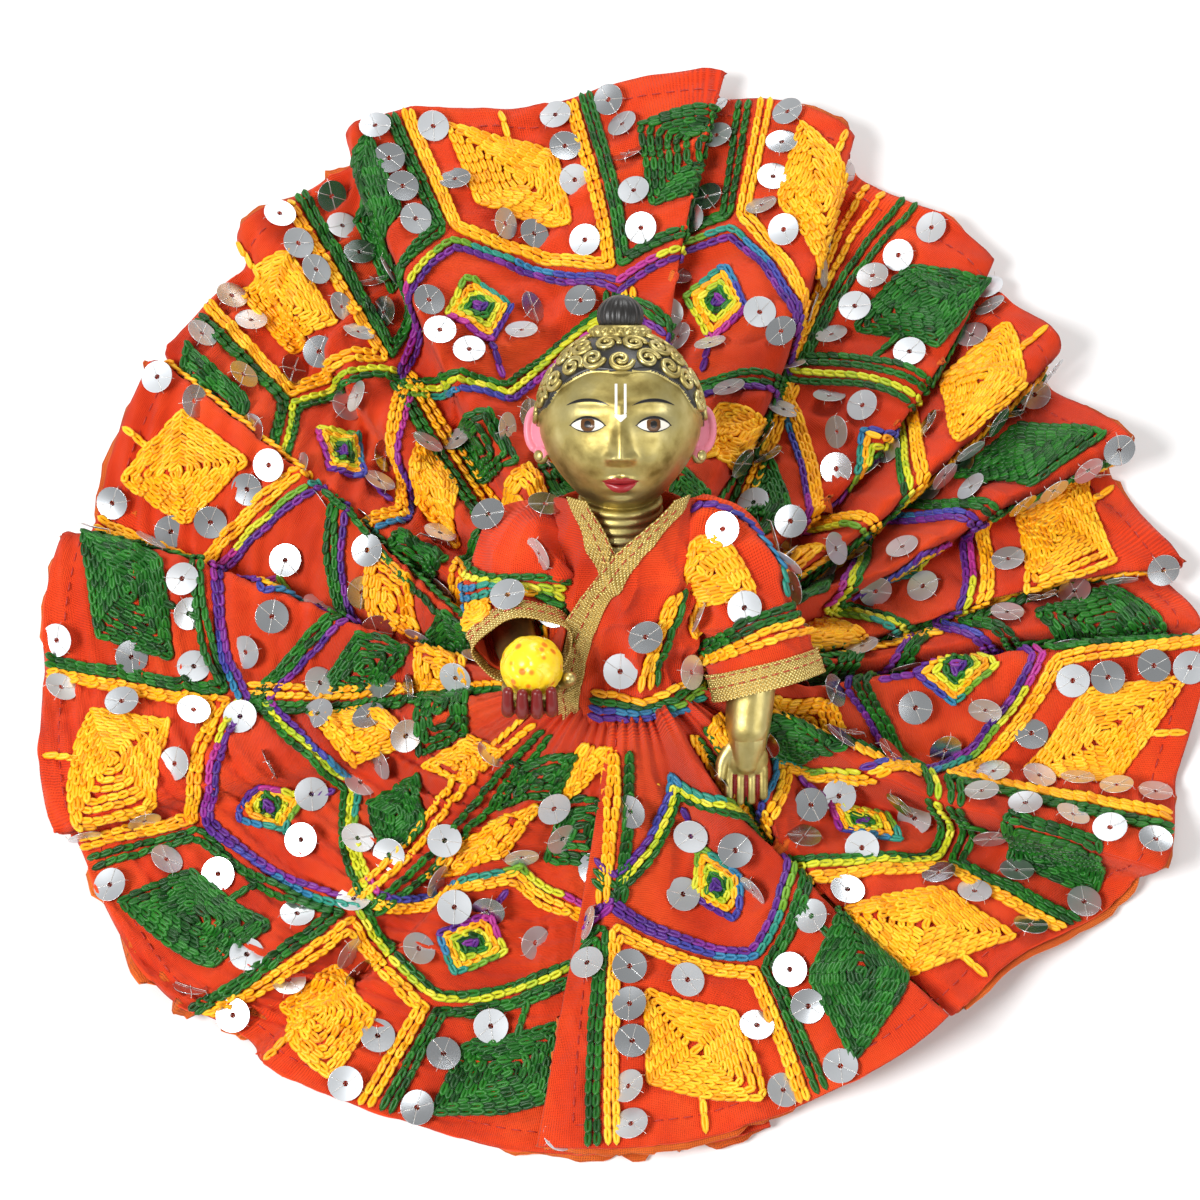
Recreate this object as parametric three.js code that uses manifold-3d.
// A cast-brass crawling-child figurine in a full-circle embroidered dress, kneeling back on its spread skirt.
//
// Millimetres, +Z up. The origin is on the floor under the centre of the spread skirt; -Y is the front
// (the way the figurine faces) and +X is the figurine's left. The brass figurine is one casting. The dress
// is a wrap-over bodice with two sleeves, gold lace on its edges, and a gathered skirt with a lining, sewn
// to a waistband and held shut by a patch of hook-and-loop tape. The skirt's free front corner, where the
// wrap ends, lies over the skirt beneath it and turns back about a fold line.
import * as THREE from "three";
import { mergeVertices } from "three/addons/utils/BufferGeometryUtils.js";
import Module from "manifold-3d";

const wasm = await Module();
wasm.setup();

const { PI, sin, cos, min, max, floor } = Math;
const DEG = PI / 180;
const v3 = (x, y, z) => new THREE.Vector3(x, y, z);

// ---- driving dimensions ----------------------------------------------------------------------
const SKIRT_HALF_X = 107; // half the spread skirt, side to side
const SKIRT_HALF_Y = 103; // half the spread skirt, front to back
const HIP = { x: 3, y: -29, z: 13 }; // where the figurine's hips are
const LEAN = 45 * DEG; // how far the torso is raised from lying flat
const HEAD_BACK = 21 * DEG; // how far the head is tipped back from the torso's line
const CLOTH = 0.8; // thickness of a sewn panel
const LACE = 0.6; // thickness of the gold lace
const TAPE_THICK = 0.3; // thickness of each half of the closure tape
const GAP = 0.3; // air between neighbouring pieces

// The torso's own frame has Z from hip to head and -Y on the chest side.
const WAIST_Z = 8;
const NECK_Z = 38;
const NECK_PIVOT = v3(0, 0.5, 40);
const HEAD = { y: -2.5, z: 14.5, rx: 13.6, ry: 13.6, rz: 15 }; // from the neck's pivot, in the head's frame

// Layers of the bodice, each the offset of its inner face from the torso.
const UNDER = 0.5;
const UNDER_LACE = UNDER + CLOTH + GAP;
const HOOK_TAPE = UNDER + CLOTH + GAP;
const LOOP_TAPE = HOOK_TAPE + TAPE_THICK + GAP;
const OVER = LOOP_TAPE + TAPE_THICK + GAP;
const OVER_LACE = OVER + CLOTH + GAP;

// ---- materials ---------------------------------------------------------------------------------
const look = (color, roughness, metalness) =>
  new THREE.MeshStandardMaterial({ color, roughness, metalness });
const BRASS = look(0x9c8a4a, 0.35, 1);
const ORANGE_COTTON = look(0xf4471c, 0.85, 0);
const LINING_COTTON = look(0xd9701f, 0.9, 0);
const GOLD_LACE = look(0xb59a45, 0.4, 0.8);
const TAPE = look(0xe8501f, 0.9, 0);

// ---- frames --------------------------------------------------------------------------------------
const PART_FRAME = new THREE.Matrix4();
const TORSO_FRAME = new THREE.Matrix4()
  .makeTranslation(HIP.x, HIP.y, HIP.z)
  .multiply(new THREE.Matrix4().makeRotationX(LEAN - 90 * DEG));
const HEAD_FRAME = TORSO_FRAME.clone()
  .multiply(new THREE.Matrix4().makeTranslation(...NECK_PIVOT))
  .multiply(new THREE.Matrix4().makeRotationX(-HEAD_BACK));

// ---- geometry helpers ----------------------------------------------------------------------------
const mix = (a, b, t) => a + (b - a) * t;
const clamp01 = (t) => min(1, max(0, t));
const smooth = (t) => t * t * (3 - 2 * t);

/** A closed geometry from rings of points: joined end to end in a loop, or closed by a fan at each end. */
function fromRings(rings, looped = false) {
  const around = rings[0].length;
  const points = rings.flat();
  const faces = [];
  const spans = looped ? rings.length : rings.length - 1;
  for (let i = 0; i < spans; i++) {
    const next = (i + 1) % rings.length;
    for (let j = 0; j < around; j++) {
      const k = (j + 1) % around;
      const [a, b] = [i * around + j, i * around + k];
      const [c, d] = [next * around + k, next * around + j];
      faces.push(a, b, c, a, c, d);
    }
  }
  const fan = (ring, flip) => {
    const centre = points.length;
    points.push(rings[ring].reduce((sum, p) => sum.add(p), v3(0, 0, 0)).divideScalar(around));
    for (let j = 0; j < around; j++) {
      const a = ring * around + j;
      const b = ring * around + ((j + 1) % around);
      faces.push(centre, ...(flip ? [b, a] : [a, b]));
    }
  };
  if (!looped) {
    fan(0, true);
    fan(rings.length - 1, false);
  }
  const geometry = new THREE.BufferGeometry().setFromPoints(points);
  geometry.setIndex(faces);
  return geometry;
}

/** A closed geometry between two grids of points of the same size, such as the two faces of a panel. */
function fromFaces(inner, outer) {
  const [rows, columns] = [inner.length, inner[0].length];
  const points = [...inner.flat(), ...outer.flat()];
  const faces = [];
  const at = (side, i, j) => (side * rows + i) * columns + j;
  const quad = (a, b, c, d) => faces.push(a, b, c, a, c, d);
  for (let i = 0; i + 1 < rows; i++) {
    for (let j = 0; j + 1 < columns; j++) {
      quad(at(0, i, j), at(0, i + 1, j), at(0, i + 1, j + 1), at(0, i, j + 1));
      quad(at(1, i, j), at(1, i, j + 1), at(1, i + 1, j + 1), at(1, i + 1, j));
    }
    for (const [j, k] of [[0, 1], [columns - 1, 0]]) {
      quad(at(k, i, j), at(k, i + 1, j), at(1 - k, i + 1, j), at(1 - k, i, j));
    }
  }
  for (let j = 0; j + 1 < columns; j++) {
    for (const [i, k] of [[0, 0], [rows - 1, 1]]) {
      quad(at(k, i, j), at(k, i, j + 1), at(1 - k, i, j + 1), at(1 - k, i, j));
    }
  }
  const geometry = new THREE.BufferGeometry().setFromPoints(points);
  geometry.setIndex(faces);
  return geometry;
}

/** A manifold-3d solid of a closed geometry that is drawn in the given frame. */
function solid(geometry, frame = TORSO_FRAME) {
  const bare = geometry.clone().applyMatrix4(frame);
  bare.deleteAttribute("normal");
  bare.deleteAttribute("uv");
  const merged = mergeVertices(bare, 1e-4);
  const triVerts = new Uint32Array(merged.index.array);
  const vertProperties = new Float32Array(merged.attributes.position.array);
  const made = new wasm.Manifold(new wasm.Mesh({ numProp: 3, vertProperties, triVerts }));
  if (made.volume() > 0) return made;
  for (let i = 0; i < triVerts.length; i += 3) {
    [triVerts[i + 1], triVerts[i + 2]] = [triVerts[i + 2], triVerts[i + 1]];
  }
  return new wasm.Manifold(new wasm.Mesh({ numProp: 3, vertProperties, triVerts }));
}

/** The largest body of a solid, back as a BufferGeometry. */
function geometryOf(made) {
  const body = made.decompose().reduce((a, b) => (b.volume() > a.volume() ? b : a));
  const { vertProperties, triVerts, numProp, numVert } = body.getMesh();
  const positions = new Float32Array(numVert * 3);
  for (let i = 0; i < numVert; i++) {
    positions.set(vertProperties.subarray(i * numProp, i * numProp + 3), i * 3);
  }
  const geometry = new THREE.BufferGeometry();
  geometry.setAttribute("position", new THREE.BufferAttribute(positions, 3));
  geometry.setIndex(new THREE.BufferAttribute(triVerts, 1));
  return geometry;
}

const union = (solids) => solids.reduce((a, b) => a.add(b));

/** An ellipsoid at [x, y, z] with half-sizes [rx, ry, rz]. */
function ellipsoid(centre, half, frame = TORSO_FRAME, across = 12, up = 8) {
  const ball = new THREE.SphereGeometry(1, across, up);
  return solid(ball.scale(...half).translate(...centre), frame);
}

/** A round limb along a smooth path through stations {at, r}; flat is its depth as a share of its width. */
function limb(stations, { frame = TORSO_FRAME, around = 10, steps = 6, grow = 0, flat = 1 } = {}) {
  const curve = new THREE.CatmullRomCurve3(stations.map((s) => s.at));
  const rings = [];
  for (let i = 0; i <= steps; i++) {
    const place = (i / steps) * (stations.length - 1);
    const k = min(stations.length - 2, floor(place));
    const r = mix(stations[k].r, stations[k + 1].r, smooth(place - k)) + grow;
    const centre = curve.getPoint(i / steps);
    const tangent = curve.getTangent(i / steps);
    const across = v3(1, 0, 0).addScaledVector(tangent, -tangent.x).normalize();
    const depth = tangent.clone().cross(across);
    rings.push(
      Array.from({ length: around }, (_, j) => {
        const angle = (j / around) * 2 * PI;
        return centre
          .clone()
          .addScaledVector(across, r * cos(angle))
          .addScaledVector(depth, r * flat * sin(angle));
      }),
    );
  }
  return solid(fromRings(rings), frame);
}

// ---- the torso's surface ---------------------------------------------------------------------------
const TORSO = [
  { z: -9, w: 7, d: 6.5 },
  { z: -6, w: 11, d: 9.4 },
  { z: 0, w: 13, d: 11 },
  { z: WAIST_Z, w: 12.4, d: 10.6 },
  { z: 17, w: 12.2, d: 10.4 },
  { z: 26, w: 13, d: 10.4 },
  { z: 33, w: 12.4, d: 9 },
  { z: 36.5, w: 8.6, d: 7 },
  { z: NECK_Z + 1, w: 5.6, d: 5.4 },
];

/** The torso's half-width and half-depth at a height. */
function torsoAt(z) {
  const k = max(0, TORSO.findIndex((s, i) => i + 1 < TORSO.length && z <= TORSO[i + 1].z));
  const [low, high] = [TORSO[k], TORSO[k + 1]];
  const t = clamp01((z - low.z) / (high.z - low.z));
  return { w: mix(low.w, high.w, t), d: mix(low.d, high.d, t) };
}

/** A point round the torso (angle 0 is the chest, growing towards +X), offset from its surface. */
function onTorso(angle, z, offset) {
  const { w, d } = torsoAt(z);
  return v3((w + offset) * sin(angle), -(d + offset) * cos(angle), z);
}

/** A ring of points round the torso at one height. */
const torsoRing = (z, offset, around) =>
  Array.from({ length: around }, (_, j) => onTorso((j / around) * 2 * PI, z, offset));

/** A curved panel on the torso between two edges, each an angle at a height, from offset to offset + thick. */
function panel(from, to, rows, offset, thick, across) {
  const face = (depth) =>
    rows.map((z) =>
      Array.from({ length: across + 1 }, (_, j) => onTorso(mix(from(z), to(z), j / across), z, depth)),
    );
  return solid(fromFaces(face(offset), face(offset + thick)));
}

// ---- arms and hands ----------------------------------------------------------------------------------
const RIGHT_ARM = [
  { at: v3(-7, 0.5, 30.5), r: 4.8 },
  { at: v3(-14, -0.5, 29), r: 4.6 },
  { at: v3(-18.2, -4, 23), r: 4 },
  { at: v3(-17.6, -11, 20), r: 3.6 },
  { at: v3(-15.4, -20, 20), r: 3.2 },
];
const LEFT_ARM = [
  { at: v3(7, 0.5, 30.5), r: 4.8 },
  { at: v3(14, -0.5, 29), r: 4.6 },
  { at: v3(20, -3.5, 21.5), r: 4 },
  { at: v3(22.4, -8.5, 13), r: 3.6 },
  { at: v3(22, -12.2, 4.5), r: 3.2 },
];
const SWEET = { at: [-14.6, -25.4, 23], r: 5.2 };

/** Four short fingers side by side, from the knuckles along one direction. */
function fingers(knuckle, along, spread, r) {
  return union(
    [-1.5, -0.5, 0.5, 1.5].map((slot) => {
      const start = knuckle.clone().add(v3(slot * spread, 0, 0));
      const tip = start.clone().add(along).add(v3(slot * 0.3, 0, 0));
      return limb([{ at: start, r }, { at: tip, r: r * 0.75 }], { around: 6, steps: 2 });
    }),
  );
}

const thumb = (from, to) => limb([{ at: from, r: 1.7 }, { at: to, r: 1.2 }], { around: 6, steps: 2 });

const leftHand = () =>
  union([
    ellipsoid([22.2, -13, 0], [4.8, 2.4, 6.2]),
    fingers(v3(22, -13.6, -3), v3(0, -2, -6.4), 2.2, 1.3),
    thumb(v3(18.6, -13, 2), v3(16.8, -14.6, -3)),
  ]);

const rightHand = () =>
  union([
    ellipsoid([-14.9, -23.6, 18.2], [5.2, 5.8, 2.4]),
    fingers(v3(-14.6, -28.4, 17.4), v3(0, -1.8, 3), 2.4, 1.35),
    thumb(v3(-10.6, -21.8, 18.6), v3(-9.2, -25.4, 21.4)),
    ellipsoid(SWEET.at, [SWEET.r, SWEET.r, SWEET.r]),
  ]);

// ---- head and legs -------------------------------------------------------------------------------------
function head() {
  const { y, z, rx, ry, rz } = HEAD;
  const ear = (side) => ellipsoid([side * (rx + 0.3), y + 1, z - 2], [1.6, 2.6, 4.6], HEAD_FRAME, 8, 6);
  return union([
    ellipsoid([0, y, z], [rx, ry, rz], HEAD_FRAME, 18, 12),
    ellipsoid([0, y - 2.4, z - 6.5], [9.6, 9.4, 8], HEAD_FRAME, 14, 8),
    ellipsoid([0, y - ry + 0.2, z - 3.4], [1.6, 1.8, 2.6], HEAD_FRAME, 8, 6),
    ear(-1),
    ear(1),
    ellipsoid([0, y, z + rz], [5, 5, 1.8], HEAD_FRAME, 12, 6),
    ellipsoid([0, y, z + rz + 2.8], [3.9, 3.9, 3.6], HEAD_FRAME, 12, 6),
    ellipsoid([0, 0.4, 1], [6, 6, 8], HEAD_FRAME, 12, 8),
  ]);
}

function legs() {
  const options = { frame: PART_FRAME };
  return union(
    [-1, 1].flatMap((side) => {
      const at = (out, back, z) => v3(HIP.x + side * out, HIP.y + back, z);
      return [
        limb([{ at: at(6, -1, 11), r: 7 }, { at: at(10, -15, 6), r: 5.2 }], options),
        limb([{ at: at(10, -15, 4.6), r: 4.8 }, { at: at(9.4, 5, 3), r: 3.4 }], options),
        ellipsoid([...at(9.4, 7.5, 2.4)], [3.2, 4.4, 3], PART_FRAME),
      ];
    }),
  );
}

// ---- the figurine, and the solids that clear it ----------------------------------------------------------
const torsoBody = (grow) =>
  solid(fromRings(TORSO.map(({ z, w, d }, i) => {
    const end = i === 0 ? -grow : i === TORSO.length - 1 ? grow : 0;
    return Array.from({ length: 20 }, (_, j) => {
      const angle = (j / 20) * 2 * PI;
      return v3((w + grow) * sin(angle), -(d + grow) * cos(angle), z + end);
    });
  })));

const floorBlock = solid(new THREE.BoxGeometry(300, 300, 40).translate(0, 0, -20), PART_FRAME);
const figurine = union([
  torsoBody(0),
  head(),
  limb(RIGHT_ARM),
  limb(LEFT_ARM),
  leftHand(),
  rightHand(),
  legs(),
]).subtract(floorBlock);
const figurineClear = union([
  torsoBody(GAP),
  limb(RIGHT_ARM, { grow: GAP }),
  limb(LEFT_ARM, { grow: GAP }),
  ellipsoid([-14.9, -23.6, 18.2], [5.6, 6.2, 2.8]),
  ellipsoid(SWEET.at, [SWEET.r + GAP, SWEET.r + GAP, SWEET.r + GAP]),
]);

// ---- sleeves and cuffs -------------------------------------------------------------------------------------
const RIGHT_SLEEVE = [
  { at: v3(-12.8, 0, 29.6), r: 7 },
  { at: v3(-17, -3, 26), r: 7.4 },
  { at: v3(-17.4, -9, 23), r: 7.6 },
  { at: v3(-16.6, -14.6, 22.4), r: 7.8 },
];
const LEFT_SLEEVE = [
  { at: v3(12.8, 0, 29.6), r: 7 },
  { at: v3(18, -2.6, 25), r: 7.4 },
  { at: v3(22.6, -6, 19), r: 8.4 },
  { at: v3(24.4, -8.6, 13.4), r: 9.4 },
];
const CUFF_WIDTH = 4.6;
const SLEEVE_SHAPE = { around: 14, steps: 6, flat: 0.8 };

/** The same stations with both ends moved outwards along the limb. */
function lengthened(stations, by) {
  const moved = (end, inner) => end.at.clone().add(end.at.clone().sub(inner.at).setLength(by));
  const first = { ...stations[0], at: moved(stations[0], stations[1]) };
  const last = { ...stations.at(-1), at: moved(stations.at(-1), stations.at(-2)) };
  return [first, ...stations.slice(1, -1), last];
}

/** A tube of cloth along an arm: the outer limb less a bore that runs out past both of its ends. */
const tube = (stations, wall) =>
  limb(stations, SLEEVE_SHAPE).subtract(limb(lengthened(stations, 2), { ...SLEEVE_SHAPE, grow: -wall }));

/** The stretch just past a sleeve's end, where its lace goes. */
function cuffStations(stations) {
  const end = stations.at(-1);
  const along = end.at.clone().sub(stations.at(-2).at).normalize();
  const from = end.at.clone().addScaledVector(along, 3 * GAP);
  const middle = from.clone().addScaledVector(along, CUFF_WIDTH / 2);
  const to = from.clone().addScaledVector(along, CUFF_WIDTH);
  return [from, middle, to].map((at) => ({ at, r: end.r }));
}

const armholes = union(
  [RIGHT_SLEEVE, LEFT_SLEEVE].map((stations) =>
    limb(lengthened(stations, 2 * GAP), { ...SLEEVE_SHAPE, grow: 2 * GAP }),
  ),
);

// ---- the bodice ------------------------------------------------------------------------------------------------
const SIDE_SEAM = 96 * DEG;
const SEAM_GAP = 2.5 * DEG;
const BODICE_ROWS = [WAIST_Z, 12.5, 17, 21.5, 26, 29.5, 31.5, 33, 34.3, 35.5];
const OVER_EDGE = [-38, -37, -35, -30, -21, -10, 0, 11, 22, 34]; // the upper panel's front edge, row by row, in degrees
const UNDER_EDGE = [30, 30, 30, 28, 20, 8, -2, -14, -25, -36]; // the edge of the panel beneath it
const overEdge = (z) => OVER_EDGE[BODICE_ROWS.indexOf(z)] * DEG;
const underEdge = (z) => UNDER_EDGE[BODICE_ROWS.indexOf(z)] * DEG;

const bodicePanel = (from, to, offset, across) => panel(from, to, BODICE_ROWS, offset, CLOTH, across);
const backPanel = bodicePanel(() => SIDE_SEAM, () => 2 * PI - SIDE_SEAM, UNDER, 12);
const underPanel = bodicePanel(() => SEAM_GAP - SIDE_SEAM, underEdge, UNDER, 10);
const overPanel = bodicePanel(() => SIDE_SEAM - SEAM_GAP, overEdge, OVER, 10);

/** Gold lace on a front edge: a strip of even width that lies mostly on its panel. */
const edgeLace = (edge, side, offset) =>
  panel((z) => edge(z) - side * 3 * DEG, (z) => edge(z) + side * 20 * DEG, BODICE_ROWS, offset, LACE, 5);

/** One half of the closure tape, in the overlap at the waist. */
const tapePatch = (offset) =>
  panel(() => -22 * DEG, () => -6 * DEG, [WAIST_Z + 1, WAIST_Z + 4.5], offset, TAPE_THICK, 4);

// ---- the skirt ---------------------------------------------------------------------------------------------------
const PLEATS = 20;
const RIPPLE = 1.5; // how far a pleat rises above and falls below the skirt's mean height
const LINING_TOP = CLOTH;
const SHELL_BOTTOM = LINING_TOP + 2 * GAP;
const SHELL_TOP = SHELL_BOTTOM + 2.2;
const WAIST_OUT = OVER_LACE + LACE + GAP;
const DOME = 0.38; // the share of the skirt's length over which it comes down to the floor
const SKIRT_STEPS = [0, 0.13, 0.26, DOME, 0.58, 0.79, 1];

/** How deep the pleats are at an angle: none where the free front corner lies, full elsewhere. */
function pleatShare(angle) {
  const degrees = ((angle / DEG + 540) % 360) - 180;
  return clamp01(max(-degrees - 14, degrees - 44) / 12);
}

/** A point of the skirt: t runs from waist to hem, lift is its height over the floor where it lies flat. */
function onSkirt(angle, t, lift, ripple) {
  const waist = onTorso(angle, WAIST_Z - 3, WAIST_OUT + 1).applyMatrix4(TORSO_FRAME);
  const hem = v3(SKIRT_HALF_X * sin(angle), -SKIRT_HALF_Y * cos(angle), 0);
  const fall = max(0, 1 - t / DOME) ** 1.2;
  const wave = ripple * pleatShare(angle) * (1 + sin(PLEATS * angle)) * clamp01(t * 3);
  return v3(mix(waist.x, hem.x, t), mix(waist.y, hem.y, t), lift + (waist.z - SHELL_TOP) * fall + wave);
}

/** The skirt's cloth between two lifts: a full ring, open at the waist. */
function skirtRing(bottom, top, ripple) {
  const around = 4 * PLEATS;
  const edge = (t, lift) =>
    Array.from({ length: around }, (_, j) => onSkirt((j / around) * 2 * PI, t, lift, ripple));
  const under = SKIRT_STEPS.map((t) => edge(t, bottom));
  const over = SKIRT_STEPS.map((t) => edge(t, top));
  return solid(fromRings([...under, ...over.reverse()], true), PART_FRAME);
}

/** The waistband: a tape round the waist, which the gathers are sewn to. */
function waistband() {
  const [inner, outer] = [UNDER, UNDER + 1];
  const [low, high] = [WAIST_Z - 5, WAIST_Z - GAP];
  const corners = [[low, inner], [low, outer], [high, outer], [high, inner]];
  return solid(fromRings(corners.map(([z, offset]) => torsoRing(z, offset, 32)), true));
}

// The free front corner, in plan: the fold line runs from its first point to its last.
const CORNER = {
  top: [-10, -62],
  edge: [[-9.4, -76], [-7.5, -90], [-3, -100]],
  hemFrom: 2,
  hemTo: 32,
  inset: 1.5,
};

/** The free front corner's cloth between two heights. */
function frontCorner(bottom, top) {
  const outline = new THREE.Shape();
  outline.moveTo(...CORNER.top);
  for (const point of CORNER.edge) outline.lineTo(...point);
  for (let degrees = CORNER.hemFrom; degrees <= CORNER.hemTo; degrees += 5) {
    const angle = degrees * DEG;
    outline.lineTo(
      (SKIRT_HALF_X - CORNER.inset) * sin(angle),
      -(SKIRT_HALF_Y - CORNER.inset) * cos(angle),
    );
  }
  const cloth = new THREE.ExtrudeGeometry(outline, { depth: top - bottom, bevelEnabled: false });
  return solid(cloth.translate(0, 0, bottom), PART_FRAME);
}

const CORNER_LINING = SHELL_TOP + GAP;
const CORNER_SHELL = CORNER_LINING + CLOTH + GAP;

// ---- assembly ------------------------------------------------------------------------------------------------------
function node(name, made, material) {
  const mesh = new THREE.Mesh(geometryOf(made), material);
  mesh.name = name;
  return mesh;
}

const sleeve = (stations) => tube(stations, CLOTH).subtract(figurineClear);
const cuff = (stations) => tube(cuffStations(stations), LACE).subtract(figurineClear);
const fitted = (onBodice) => onBodice.subtract(armholes).subtract(figurineClear);

const part = new THREE.Group();
part.add(
  node("brass_figurine", figurine, BRASS),
  node("bodice_back_panel", fitted(backPanel), ORANGE_COTTON),
  node("bodice_under_panel", fitted(underPanel), ORANGE_COTTON),
  node("bodice_over_panel", fitted(overPanel), ORANGE_COTTON),
  node("collar_lace_under", fitted(edgeLace(underEdge, -1, UNDER_LACE)), GOLD_LACE),
  node("collar_lace_over", fitted(edgeLace(overEdge, 1, OVER_LACE)), GOLD_LACE),
  node("right_sleeve", sleeve(RIGHT_SLEEVE), ORANGE_COTTON),
  node("left_sleeve", sleeve(LEFT_SLEEVE), ORANGE_COTTON),
  node("right_cuff_lace", cuff(RIGHT_SLEEVE), GOLD_LACE),
  node("left_cuff_lace", cuff(LEFT_SLEEVE), GOLD_LACE),
  node("closure_hook_tape", tapePatch(HOOK_TAPE), TAPE),
  node("closure_loop_tape", tapePatch(LOOP_TAPE), TAPE),
  node("waistband", waistband(), TAPE),
  node("skirt_lining", skirtRing(0, LINING_TOP, 0), LINING_COTTON),
  node("skirt_shell", skirtRing(SHELL_BOTTOM, SHELL_TOP, RIPPLE), ORANGE_COTTON),
  node("front_corner_lining", frontCorner(CORNER_LINING, CORNER_LINING + CLOTH), LINING_COTTON),
  node("front_corner_shell", frontCorner(CORNER_SHELL, CORNER_SHELL + CLOTH), ORANGE_COTTON),
);

export default part;
